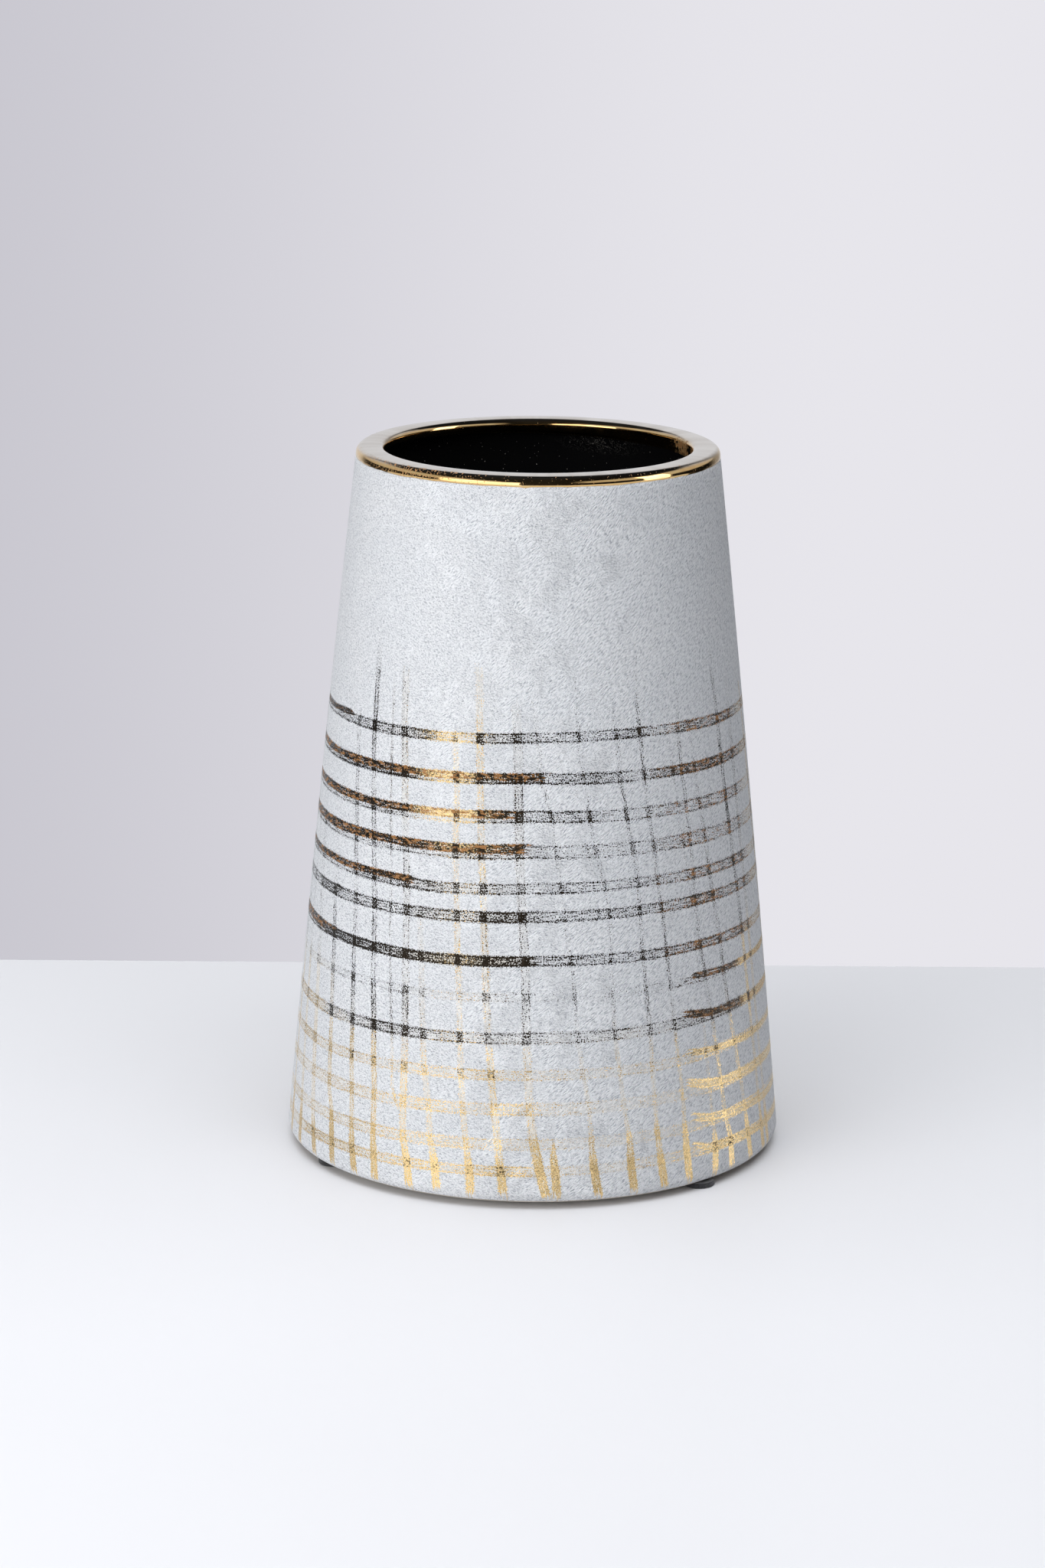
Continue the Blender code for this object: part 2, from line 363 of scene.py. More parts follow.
def uprights(around, height, arc_mm):
    """The brushed uprights, dry at the top and solid at the tip."""
    tip = np.clip((TIP + 4.0 * wobble(around, 7, (19, 31)) - height) / 7.0, 0.0, 1.0)
    # Where the brush was drier: right of the middle, up on the left, and low on the right
    thin = step(around, -7.0, 5.0) * (1.0 - step(around, 44.0, 56.0)) * step(height, 24.0, 34.0)
    upper_left = step(-around, 20.0, 34.0) * step(height, 84.0, 100.0) * step(-height, -168.0, -160.0)
    low_right = step(around, 8.0, 18.0) * (1.0 - step(height, 40.0, 75.0))
    load = (1.0 - 0.30 * thin) * (1.0 - 0.16 * upper_left) * (1.0 - 0.10 * low_right)
    strokes = []
    for number, (width, gold, line) in enumerate(list(UPRIGHTS) + back_uprights()):
        across, heights = zip(*line)
        middle = np.interp(height, heights[::-1], across[::-1])
        side = ((around - middle + 180.0) % 360.0 - 180.0) * arc_mm
        end = np.maximum(height - heights[0], heights[-1] - height)
        wide = width * (1.0 - 0.30 * thin) + (max(width, TIP_WIDTH) - width) * tip
        solid = tip if heights[-1] <= TIP else 0.0
        fade = np.clip((heights[0] - height) / START_FADE, 0.0, 1.0)
        along = wobble(height * 1.7 + 31.0 * number, 100 + number, (3, 5, 8))
        left = gold * (0.62 + 0.38 * fade) * (1.0 + 0.30 * along) * load
        left = left + (TIP_GOLD - left) * solid
        strokes.append(ended_stroke(side, end, wide, left))
    return nearest(strokes)


def painted_reflection_mask(around, height):
    """Painted reflection for the gold: bright low down, at the front, on the flanks and at the back, dark
    elsewhere, as if mirroring the table, the key light, the side glow and the dark room.
    """
    low = 1.0 - step(height + 9.0 * wobble(around, 27, (5, 9, 14, 23, 37)), 46.0, 84.0)
    upper = step(height, 140.0, 156.0)
    front = (0.66 + 0.34 * upper) * np.exp(-((around + 18.0 + 5.0 * upper) / 15.0) ** 2)
    right = 0.9 * step(around - 11.0 * step(height, 92.0, 108.0), 54.0, 65.0)
    left = step(-around, 52.0, 66.0) * (1.0 - step(height, 74.0, 92.0))
    away = step(np.abs(around), 80.0, 100.0)
    flanks = np.maximum(left, right) * (1.0 - away)
    back = away * (0.40 + 0.45 * wobble(around, 18, (4, 7, 11)))
    return np.clip(np.maximum(np.maximum(low, flanks), np.maximum(front, back)), 0.0, 1.0)


# ------------------------------------------------------------------ the vase's pieces

def glaze_rows():
    """Heights of the outer wall's rows, top to bottom, closer together where there are strokes."""
    top, stroke_top = BAND_Z + 1.2 * MM, FOOT_Z + STROKE_TOP * MM
    bottom = FOOT_Z + FOOT_CORNER
    plain = np.linspace(top, stroke_top, round((top - stroke_top) / (PLAIN_ROW * MM)))
    close = np.linspace(stroke_top, bottom, round((stroke_top - bottom) / (STROKE_ROW * MM)))
    return np.concatenate((plain, close[1:]))


def foot_arc(depth, end, steps):
    """The foot corner's section, depth under the finished surface, from the wall to end degrees."""
    centre_z = FOOT_Z + FOOT_CORNER
    centre = (wall_radius(centre_z) - FOOT_CORNER, centre_z)
    return arc(centre, FOOT_CORNER - depth, 0.0, -end, steps)


def matt_glaze_coat():
    """The matt glaze as a closed skin, with the strokes' distances stored on it."""
    rows = glaze_rows()
    front = [(wall_radius(z), z) for z in rows[:-1]] + foot_arc(0.0, GLAZE_TURN, 8)
    back = foot_arc(COAT, GLAZE_TURN, 4)[::-1]
    back += [(wall_radius(z) - COAT, z) for z in np.linspace(rows[-1], rows[0], 7)[1:]]
    around = directions(GLAZE_COLUMNS)
    radius, height = same_round(front + back, around)
    radius[:len(rows)] += 0.06 * MM * wobble(around, 1)
    piece = lathe("matt_glaze_coat", radius, height, around, loop=True)

    grid = around * np.ones_like(height)
    above = (height - FOOT_Z) / MM
    arc_mm = np.radians(1.0) * radius / MM
    for name, fields in (
        ("ring", first_passes(grid, above)),
        ("wet", second_passes(grid, above, arc_mm)),
        ("upright", uprights(grid, above, arc_mm)),
    ):
        for part, values in fields.items():
            add_value(piece, name + "_" + part, values)
    # The gold's painted reflection: where its colour is painted bright and where it is painted dark
    add_value(piece, "reflection_paint", painted_reflection_mask(grid, above))
    return piece


def lip_section(around, depth, outer_end, steps):
    """Rows of the lip from its underside, up the inner face, over and down to outer_end."""
    under = TOP_Z - lip_depth(around)
    radii, heights = [], []
    for r, z in arc((LIP_LOWER_ROUND, LIP_LOWER_ROUND), LIP_LOWER_ROUND - depth, 270.0, 180.0, steps):
        radii.append(MOUTH_RADIUS + r)
        heights.append(under + z)
    for r, z in arc((LIP_INNER_ROUND, -LIP_INNER_ROUND), LIP_INNER_ROUND - depth, 180.0, 90.0, steps):
        radii.append(MOUTH_RADIUS + r)
        heights.append(TOP_Z + z)
    outer_z = TOP_Z - LIP_OUTER_ROUND
    outer = (wall_radius(outer_z) - LIP_OUTER_ROUND, outer_z)
    crown = 0.12 * MM
    inner_r = MOUTH_RADIUS + LIP_INNER_ROUND
    for share in (0.25, 0.5, 0.75):
        radii.append(inner_r + (outer[0] - inner_r) * share)
        heights.append(TOP_Z - depth + crown * 4.0 * share * (1.0 - share))
    for r, z in arc(outer, LIP_OUTER_ROUND - depth, 90.0, 0.0, 2 * steps):
        radii.append(r)
        heights.append(z)
    radii.append(wall_radius(outer_end) - depth)
    heights.append(outer_end)
    return rows_round(radii, around), rows_round(heights, around)


DRIPS = ((-4.0, 1.3, 0.45), (-47.0, 2.4, 0.25), (23.0, 3.0, 0.2), (131.0, 2.0, 0.5), (-140.0, 2.5, 0.4))


def band_edge(around):
    """Height of the gold's lower edge on the outside, uneven and with a few small drips."""
    edge = BAND_Z + 0.3 * MM + 0.16 * MM * wobble(around, 15, (5, 11, 23, 41, 67))
    for direction, width, drop in DRIPS:
        edge = edge - drop * MM * np.exp(-((around - direction) / width) ** 2)
    return edge


def lustre_lip():
    """The gold over the lip: a closed skin that stands a hair over the glaze beside it."""
    around = directions(PLAIN_COLUMNS * 2)
    edge = band_edge(around)
    radius, height = lip_section(around, -LUSTRE_PROUD, edge, 6)
    inner_radius, inner_height = lip_section(around, COAT, edge, 3)
    start = (MOUTH_RADIUS + LIP_LOWER_ROUND + 2.2 * MM) * np.ones_like(around)
    under = TOP_Z - lip_depth(around)
    radius = np.vstack((start[None], radius, inner_radius[::-1], start[None]))
    height = np.vstack((under[None] - LUSTRE_PROUD, height, inner_height[::-1], under[None] + COAT))
    uneven = 0.10 * MM * wobble(around, 3)
    piece = lathe("lustre_lip", radius + uneven, height, around, loop=True)

    grid = around * np.ones_like(height)
    outside = np.clip((radius - (wall_radius(TOP_Z) - 3.4 * MM)) / (1.6 * MM), 0.0, 1.0)
    inside = np.clip((MOUTH_RADIUS + 1.8 * MM - radius) / (1.2 * MM), 0.0, 1.0)
    pitted = 0.42 + 0.58 * np.exp(-((grid + 44.0) / 26.0) ** 2)
    add_value(piece, "pits", outside * pitted)
    add_value(piece, "stain", inside * np.exp(-((grid - 108.0) / 16.0) ** 2))
    # Where the top face is, which the gold's material paints pale as a painted reflection
    add_value(piece, "top", step(height, TOP_Z - 1.5 * MM, TOP_Z - 0.1 * MM))
    return piece


HOLLOW_Z = TOP_Z - LIP_UNDERSIDE - LIP_FILLET      # where the inside starts to turn in under the lip


def hollow_corner(around, depth):
    """Rows of the hollow corner between the inside wall and the lip's underside, going up."""
    under = TOP_Z - lip_depth(around)
    middle = wall_radius(HOLLOW_Z) - WALL - LIP_FILLET
    radii, heights = [], []
    for turn in np.radians(np.linspace(15.0, 90.0, 6)):
        radii.append(middle + (LIP_FILLET + depth) * math.cos(turn))
        heights.append(HOLLOW_Z + (under - HOLLOW_Z + depth) * math.sin(turn))
    return rows_round(radii, around), rows_round(heights, around)


def gloss_lining():
    """The black glaze inside: floor, wall and the hollow corner under the lip."""
    around = directions(PLAIN_COLUMNS)
    floor_z = FOOT_Z + FLOOR
    low = floor_z + FLOOR_CORNER
    under = TOP_Z - lip_depth(around)

    def section(depth):
        """(radius, height) rows from the floor's middle to under the lip."""
        points = [(0.0, floor_z - depth), (0.03, floor_z - depth), (0.06, floor_z - depth)]
        corner = (wall_radius(low) - WALL - FLOOR_CORNER, low)
        points += arc(corner, FLOOR_CORNER + depth, -90.0, 0.0, 10)
        for z in np.linspace(low, HOLLOW_Z, 90)[1:]:
            points.append((wall_radius(z) - WALL + depth, z))
        radius, height = same_round(points, around)
        corner_radius, corner_height = hollow_corner(around, depth)
        end = MOUTH_RADIUS + LIP_LOWER_ROUND + 0.6 * MM + 0.0 * around
        radius = np.vstack((radius, corner_radius, end[None]))
        height = np.vstack((height, corner_height, under[None] + depth))
        return radius, height

    radius, height = section(0.0)
    back_radius, back_height = section(COAT)
    radius, height = np.vstack((radius, back_radius[::-1])), np.vstack((height, back_height[::-1]))
    radius[3:] += 0.10 * MM * wobble(around, 6)
    piece = lathe("gloss_lining", radius, height, around)

    grid = around * np.ones_like(height)
    # A patch up the far side, where the material draws fine pale lines and a faint haze
    patch = np.exp(-((grid - 156.0) / 10.0) ** 2 - ((height - (TOP_Z - 9.5 * MM)) / (2.6 * MM)) ** 2)
    per_point = [row if radius[i].max() > 1e-9 else row[:1] for i, row in enumerate(patch)]
    add_value(piece, "pale_mark_patch", np.concatenate(per_point))
    return piece


def bare_clay():
    """The clay: bare on the foot ring and under it, and hidden behind the coats elsewhere."""
    around = directions(PLAIN_COLUMNS)
    hidden = COAT + 0.1 * MM
    floor_z = FOOT_Z + FLOOR
    low = floor_z + FLOOR_CORNER
    under = TOP_Z - lip_depth(around)
    inner = [(0.0, floor_z - hidden)]
    corner = (wall_radius(low) - WALL - FLOOR_CORNER, low)
    inner += arc(corner, FLOOR_CORNER + hidden, -90.0, 0.0, 8)
    inner += [(wall_radius(z) - WALL + hidden, z) for z in np.linspace(low, HOLLOW_Z, 12)[1:]]
    radius, height = same_round(inner, around)
    corner_radius, corner_height = hollow_corner(around, hidden)
    lip_radius, lip_height = lip_section(around, hidden, BAND_Z + 0.0 * around, 3)
    root = (MOUTH_RADIUS + LIP_LOWER_ROUND + 0.5 * MM) * np.ones_like(around)
    outer = [(wall_radius(z) - hidden, z) for z in np.linspace(BAND_Z, FOOT_Z + FOOT_CORNER, 12)[1:-1]]
    outer += foot_arc(hidden, GLAZE_TURN - 4.0, 4)
    outer += foot_arc(0.12 * MM, CLAY_TURN, 3)[-2:]
    ring_outer = outer[-1][0]
    outer += [(ring_outer - 0.7 * MM, FOOT_Z), (FOOT_RING_INNER + 0.6 * MM, FOOT_Z)]
    outer += arc((FOOT_RING_INNER + 0.6 * MM, FOOT_Z + 0.6 * MM), 0.6 * MM, -110.0, -148.0, 2)
    recess_z = FOOT_Z + FOOT_RECESS
    slope_end = FOOT_RING_INNER - FOOT_RECESS_SLOPE
    outer += [(slope_end + 0.6 * MM, recess_z - 0.35 * MM), (slope_end - 0.4 * MM, recess_z)]
    outer += [(recess_radius, recess_z) for recess_radius in (0.06, 0.035, 0.015, 0.0)]
    outer_radius, outer_height = same_round(outer, around)
    radius = np.vstack((radius, corner_radius, root[None], lip_radius, outer_radius))
    height = np.vstack((height, corner_height, under[None] + hidden, lip_height, outer_height))
    return lathe("bare_clay", radius, height, around)


PAD_SIDES = 72
FILM = 0.12 * MM      # the pad's adhesive film


def pad_section(name, centre, radius, outline, rough, seed):
    """A round pad or film turned about its own middle, with an uneven rim."""
    around = directions(PAD_SIDES)
    rows, heights = same_round(outline, around)
    draw = random.Random(seed)
    ragged = np.array([draw.uniform(-1.0, 1.0) for _ in around])
    rows = rows * (1.0 + rough * (ragged + 2.0 * wobble(around, seed)) * (rows / radius) ** 4)
    piece = lathe(name, rows, heights, around)
    piece.location = (centre.x, centre.y, 0.0)
    return piece


def felt_pad(number):
    """A pressed felt pad with a soft rim, and the adhesive film that holds it."""
    low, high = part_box("foot_pad_%d" % number)
    centre = (low + high) / 2.0
    radius = (high.x - low.x) / 2.0
    top = high.z - FILM
    soft = 0.55 * MM
    outline = [(0.0, top), (radius * 0.5, top)] + arc((radius - soft, top - soft), soft, 90.0, 0.0, 4)
    outline += arc((radius - soft, soft), soft, 0.0, -90.0, 4) + [(radius * 0.5, 0.0), (0.0, 0.0)]
    pad = pad_section("felt_pad_%d" % number, centre, radius, outline, 0.012, number)
    wide = radius * 0.95
    above = high.z + 0.2 * MM
    outline = [(0.0, above), (wide, above), (wide, top + 0.02 * MM), (0.0, top + 0.02 * MM)]
    film = pad_section("pad_film_%d" % number, centre, radius, outline, 0.004, 30 + number)
    return pad, film


# ------------------------------------------------------------------ materials

class Finish:
    """A Principled material, with a short call for each kind of node that feeds it."""

    def __init__(self, name):
        self.material = bpy.data.materials.new(name)
        self.material.use_nodes = True
        self.tree = self.material.node_tree
        self.shader = self.tree.nodes["Principled BSDF"]
        self.place = self.add("ShaderNodeTexCoord").outputs["Object"]

    def add(self, kind, **settings):
        node = self.tree.nodes.new(kind)
        for name, value in settings.items():
            setattr(node, name, value)
        return node

    def feed(self, socket, value):
        """Set a socket, or link an output to it."""
        if isinstance(value, bpy.types.NodeSocket):
            self.tree.links.new(value, socket)
        elif isinstance(value, tuple) and socket.type == "RGBA":
            socket.default_value = (*value, 1.0)
        else:
            socket.default_value = value

    def set(self, **inputs):
        """Feed the shader: set(Base_Color=..., Roughness=...)."""
        for name, value in inputs.items():
            self.feed(self.shader.inputs[name.replace("_", " ")], value)

    def maths(self, operation, first, second=0.0):
        node = self.add("ShaderNodeMath", operation=operation)
        self.feed(node.inputs[0], first)
        self.feed(node.inputs[1], second)
        return node.outputs[0]

    def plus(self, first, second):
        return self.maths("ADD", first, second)

    def minus(self, first, second):
        return self.maths("SUBTRACT", first, second)

    def times(self, first, second):
        return self.maths("MULTIPLY", first, second)

    def over(self, first, second):
        return self.maths("DIVIDE", first, second)

    def absolute(self, value):
        return self.maths("ABSOLUTE", value)

    def largest(self, first, *others):
        for other in others:
            first = self.maths("MAXIMUM", first, other)
        return first

    def off_middle(self, noise, swing):
        """Noise of 0 to 1 moved to lie round 0, over the swing."""
        return self.times(self.minus(noise, 0.5), swing)

    def spread(self, value, low, high, to_low=0.0, to_high=1.0, smooth=False):
        """Map low..high to to_low..to_high, and hold the ends."""
        kind = "SMOOTHSTEP" if smooth else "LINEAR"
        node = self.add("ShaderNodeMapRange", interpolation_type=kind)
        for socket, number in zip(node.inputs[:5], (value, low, high, to_low, to_high)):
            self.feed(socket, number)
        return node.outputs[0]

    def blend(self, amount, first, second):
        """A number or a colour that goes from first to second."""
        colour = isinstance(first, tuple) or getattr(first, "type", "") == "RGBA"
        node = self.add("ShaderNodeMix", data_type="RGBA" if colour else "FLOAT")
        slots = (6, 7) if colour else (2, 3)
        self.feed(node.inputs[0], amount)
        self.feed(node.inputs[slots[0]], first)
        self.feed(node.inputs[slots[1]], second)
        return node.outputs[2 if colour else 0]

    def value(self, name):
        """A number stored on the mesh."""
        return self.add("ShaderNodeAttribute", attribute_name=name).outputs["Fac"]

    def vector(self, x, y, z):
        node = self.add("ShaderNodeCombineXYZ")
        for socket, part in zip(node.inputs, (x, y, z)):
            self.feed(socket, part)
        return node.outputs[0]

    def split(self, vector):
        node = self.add("ShaderNodeSeparateXYZ")
        self.feed(node.inputs[0], vector)
        return node.outputs

    def unrolled(self):
        """Metres round the vase and up it, as if the wall were laid flat."""
        x, y, z = self.split(self.place)
        turn = self.maths("ARCTAN2", x, self.times(y, -1.0))
        return self.vector(self.times(turn, UNROLL_RADIUS), 0.0, z)

    def stretched(self, where, size, turn=0.0):
        """Coordinates in which one unit is size, after turning about Y."""
        node = self.add("ShaderNodeMapping", vector_type="TEXTURE")
        self.feed(node.inputs["Vector"], where)
        node.inputs["Scale"].default_value = size
        node.inputs["Rotation"].default_value = (0.0, math.radians(turn), 0.0)
        return node.outputs[0]

    def noise(self, where, detail=2.0, roughness=0.5, distortion=0.0, scale=1.0):
        node = self.add("ShaderNodeTexNoise")
        self.feed(node.inputs["Vector"], where)
        for name, number in (("Scale", scale), ("Detail", detail), ("Roughness", roughness),
                             ("Distortion", distortion)):
            node.inputs[name].default_value = number
        return node.outputs["Fac"]

    def bump(self, height, distance, strength=1.0, normal=None):
        node = self.add("ShaderNodeBump")
        self.feed(node.inputs["Height"], height)
        self.feed(node.inputs["Distance"], distance)
        self.feed(node.inputs["Strength"], strength)
        if normal is not None:
            self.feed(node.inputs["Normal"], normal)
        return node.outputs[0]


def fibres(finish, flat):
    """The matt glaze's fibrous relief: short dashes whose direction wanders, 0 to 1."""
    rising = finish.noise(finish.stretched(flat, (1.9 * MM, 1.0, 0.42 * MM), -36.0), 2.0, 0.55, 0.4)
    level = finish.noise(finish.stretched(flat, (1.0 * MM, 1.0, 0.40 * MM), 16.0), 2.0, 0.55, 1.0)
    region = finish.noise(finish.stretched(flat, (16 * MM, 1.0, 19 * MM)), 4.0, 0.65)
    region = finish.plus(region, finish.times(finish.split(finish.place)[0], 2.2))
    return finish.blend(finish.spread(region, 0.47, 0.53, smooth=True), level, rising)


def bristles(finish):
    """Streaks along each kind of stroke; height or place shifts them from stroke to stroke."""
    x, y, z = finish.split(finish.place)
    ring_shift = finish.times(z, 130.0)

    def along_ring(name, length, fine):
        first = finish.plus(finish.over(x, length), ring_shift)
        second = finish.plus(finish.over(y, length), ring_shift)
        across = finish.over(finish.value(name + "_side"), fine)
        return finish.noise(finish.vector(first, second, across), 1.0)

    across = finish.over(finish.value("upright_side"), 0.40)
    upright_shift = finish.times(finish.plus(x, finish.times(y, 0.7)), 160.0)
    return {
        "ring": along_ring("ring", 4.5 * MM, 0.40),
        "wet": along_ring("wet", 7.0 * MM, 0.5),
        "upright": finish.noise(finish.vector(across, finish.over(z, 4.5 * MM), upright_shift), 1.0),
    }


def inside_stroke(finish, name, ragged):
    """1 inside a stroke, 0 outside, with ragged sides."""
    edge = finish.plus(finish.value(name + "_edge"), ragged)
    return finish.spread(edge, 0.30, -0.10, smooth=True)


def loose_end(finish, name, streaks):
    """1 along a stroke, trailing off to 0 at its ends in bristle marks."""
    end = finish.plus(finish.value(name + "_end"), finish.off_middle(streaks, 14.0))
    return finish.spread(end, 0.6, -0.6, smooth=True)


def brushed_gold(finish, relief, grain):
    """How much gold each kind of stroke has, how much they cross, and the crisp specks they leave."""
    streaks = bristles(finish)
    ragged = finish.off_middle(grain, 2.2)
    amount = {}
    for name in ("ring", "wet", "upright"):
        inside = inside_stroke(finish, name, ragged)
        if name != "ring":
            inside = finish.times(inside, loose_end(finish, name, streaks[name]))
        amount[name] = finish.times(inside, finish.value(name + "_gold"))
    crossing = finish.times(finish.largest(amount["ring"], amount["wet"]), amount["upright"])

    # Specks lie where the gold outdoes the grain: denser along a stroke's edges and at crossings
    rough_grain = finish.blend(0.68, relief, grain)
    specks = []
    for name, share in (("ring", 0.24), ("upright", 0.24), ("wet", 0.26)):
        edge = finish.absolute(finish.plus(finish.value(name + "_edge"), 0.45))
        gain = finish.plus(0.84, finish.times(finish.spread(edge, 0.50, 0.15), 0.28))
        cover = finish.plus(finish.times(amount[name], gain), finish.times(crossing, 0.95))
        cover = finish.times(cover, finish.spread(amount[name], 0.02, 0.10))
        threshold = finish.spread(finish.blend(share, rough_grain, streaks[name]), 0.33, 0.67)
        specks.append(finish.spread(finish.minus(cover, threshold), 0.0, 0.06))
    return amount, crossing, finish.largest(*specks)


def glaze_colour(finish, flat, relief, grain):
    """Pale grey over slow clouds, with dark flecks in the hollows of the relief."""
    clouds = finish.noise(finish.stretched(flat, (30 * MM, 1.0, 24 * MM)), 2.0)
    pale = finish.blend(finish.spread(clouds, 0.35, 0.65), (0.84, 0.85, 0.865), (0.815, 0.83, 0.85))
    glaze = finish.blend(finish.spread(grain, 0.52, 0.70, 0.0, 0.45), pale, (0.38, 0.40, 0.435))
    flecks = finish.times(finish.spread(relief, 0.48, 0.68), 0.85)
    return finish.blend(flecks, glaze, (0.28, 0.30, 0.34))


def painted_reflection_gold(finish, flat, amount, crossing):
    """The gold's colour as a painted reflection: gold where the reflection mask is high, near black where
    it is low and on heavier gold and crossings, with painted highlight specks, and orange-brown where it
    has burnt.
    """
    patches = finish.noise(finish.stretched(flat, (3.6 * MM, 1.0, 1.5 * MM)), 4.0, 0.75)
    wet_burnt = finish.times(finish.spread(amount["wet"], 0.40, 0.65), finish.value("wet_burnt"))
    ring_burnt = finish.times(finish.spread(amount["ring"], 0.25, 0.45), finish.value("ring_burnt"))
    patches = finish.spread(patches, 0.50, 0.56, smooth=True)
    burnt = finish.times(patches, finish.largest(wet_burnt, ring_burnt))

    z = finish.split(finish.place)[2]
    dense = finish.largest(amount["ring"], amount["upright"], amount["wet"])
    # Heavier gold and crossings are painted darker, a painted dark reflection, less so low down
    thick_painted_dark = finish.largest(finish.times(amount["ring"], 0.75), finish.times(dense, 0.38))
    thick_painted_dark = finish.plus(thick_painted_dark, finish.times(crossing, finish.spread(z, 30 * MM, 78 * MM, 0.2, 1.3)))
    # Painted highlight specks scattered through the gold
    painted_glint = finish.noise(finish.stretched(flat, (1.1 * MM, 1.0, 0.8 * MM)), 3.0, 0.8)
    bright = finish.plus(finish.minus(finish.value("reflection_paint"), thick_painted_dark), finish.off_middle(painted_glint, 2.1))
    # Near black is the painted dark reflection, gold the painted bright reflection
    reflection_painted_colour = finish.blend(finish.spread(bright, 0.26, 0.48), (0.030, 0.023, 0.016), (0.84, 0.62, 0.31))
    return finish.blend(burnt, reflection_painted_colour, (0.36, 0.17, 0.055)), burnt


def matt_glaze():
    """Pale grey matt glaze with fibrous mottling, and the gold brushed over it."""
    finish = Finish("matt_glaze_and_gold")
    flat = finish.unrolled()
    relief = fibres(finish, flat)
    grain = finish.noise(finish.stretched(flat, (0.56 * MM, 1.0, 0.60 * MM)), 1.0, 0.5)
    amount, crossing, gold = brushed_gold(finish, relief, grain)
    reflection_painted_colour, burnt = painted_reflection_gold(finish, flat, amount, crossing)

    # A thin cream film on the glaze between the strokes' specks, only where the gold's reflection is
    # painted bright: partly the strokes' own film, partly painted reflection
    film = finish.largest(finish.times(amount["ring"], 0.42), finish.times(amount["upright"], 0.95),
                          finish.times(amount["wet"], 1.25))
    film = finish.times(film, finish.value("reflection_paint"))
    glaze = finish.blend(film, glaze_colour(finish, flat, relief, grain), (0.86, 0.75, 0.56))
    sheen = finish.blend(burnt, finish.spread(grain, 0.35, 0.65, 0.20, 0.34), 0.6)
    rough = finish.blend(gold, finish.spread(relief, 0.35, 0.65, 0.52, 0.64), sheen)

    # The relief is coarser on the right
    coarse = finish.spread(finish.split(finish.place)[0], -0.03, 0.06, 0.7, 1.5)
    height = finish.times(finish.minus(finish.times(grain, 0.15), relief), coarse)
    normal = finish.bump(height, 0.95 * MM, finish.blend(gold, 0.9, 0.45))
    metallic = finish.times(gold, finish.minus(1.0, finish.times(burnt, 0.85)))
    finish.set(Base_Color=finish.blend(gold, glaze, reflection_painted_colour), Metallic=metallic)
    finish.set(Roughness=rough, Normal=normal, Specular_IOR_Level=0.35)
    return finish.material


def gold_lustre():
    """Bright gold lustre, pitted along the outer edge, stained on the inner face, its flat top painted pale
    as a painted reflection.
    """
    finish = Finish("gold_lustre_fired")
    flat = finish.unrolled()
    dots = finish.noise(finish.stretched(flat, (0.9 * MM, 1.0, 0.8 * MM)), 1.5, 0.6, 0.3)
    crowd = finish.spread(finish.value("pits"), 0.0, 1.0, 0.76, 0.565)
    pits = finish.spread(finish.minus(dots, crowd), 0.0, 0.03)
    blots = finish.noise(finish.stretched(flat, (2.0 * MM, 1.0, 2.4 * MM)), 4.0, 0.75)
    stain = finish.spread(finish.times(blots, finish.value("stain")), 0.44, 0.52)
    film = finish.noise(finish.stretched(flat, (14 * MM, 1.0, 9 * MM)), 3.0, 0.6)
    marks = finish.largest(pits, stain)
    clean = finish.blend(finish.spread(film, 0.35, 0.65), (0.82, 0.58, 0.27), (0.76, 0.48, 0.20))
    # The top face is painted a pale grey-beige: a painted reflection of the pale wall
    top_painted_pale = finish.blend(finish.spread(film, 0.40, 0.60), (0.75, 0.705, 0.655), (0.62, 0.57, 0.515))
    clean = finish.blend(finish.times(finish.value("top"), 0.9), clean, top_painted_pale)
    colour = finish.blend(marks, clean, finish.blend(stain, (0.42, 0.20, 0.065), (0.20, 0.09, 0.03)))
    rough = finish.blend(marks, finish.spread(film, 0.3, 0.7, 0.05, 0.13), 0.5)
    waves = finish.noise(finish.stretched(flat, (11 * MM, 1.0, 8 * MM)), 1.0)
    normal = finish.bump(waves, 0.25 * MM, 0.35)
    normal = finish.bump(finish.times(marks, -1.0), 0.08 * MM, 0.7, normal)
    finish.set(Base_Color=colour, Roughness=rough, Normal=normal)
    finish.set(Metallic=finish.minus(1.0, finish.times(marks, 0.85)))
    return finish.material


def black_gloss():
    """Black gloss glaze with faint waves, pinholes and a patch of fine pale lines and faint haze."""
    finish = Finish("black_gloss_glaze")
    flat = finish.unrolled()
    waves = finish.noise(finish.stretched(flat, (12 * MM, 1.0, 16 * MM)), 2.0, 0.4)
    holes = finish.noise(finish.stretched(flat, (0.9 * MM, 1.0, 0.9 * MM)), 0.0)
    specks = finish.spread(holes, 0.80, 0.83)
    lines = finish.noise(finish.stretched(flat, (5 * MM, 1.0, 2.4 * MM), -20.0), 3.0, 0.6, 1.2)
    near_line = finish.absolute(finish.minus(lines, 0.5))
    fine_lines = finish.times(finish.spread(near_line, 0.014, 0.004), finish.value("pale_mark_patch"))
    haze = finish.times(finish.spread(lines, 0.5, 0.7), finish.value("pale_mark_patch"))
    marks = finish.largest(finish.times(fine_lines, 0.42), finish.times(specks, 0.6), finish.times(haze, 0.03))
    colour = finish.blend(marks, (0.006, 0.006, 0.0065), (0.55, 0.53, 0.48))
    rough = finish.blend(marks, finish.spread(waves, 0.3, 0.7, 0.06, 0.12), 0.6)
    normal = finish.bump(waves, 0.5 * MM, 0.4)
    finish.set(Base_Color=colour, Roughness=rough, Normal=normal)
    return finish.material


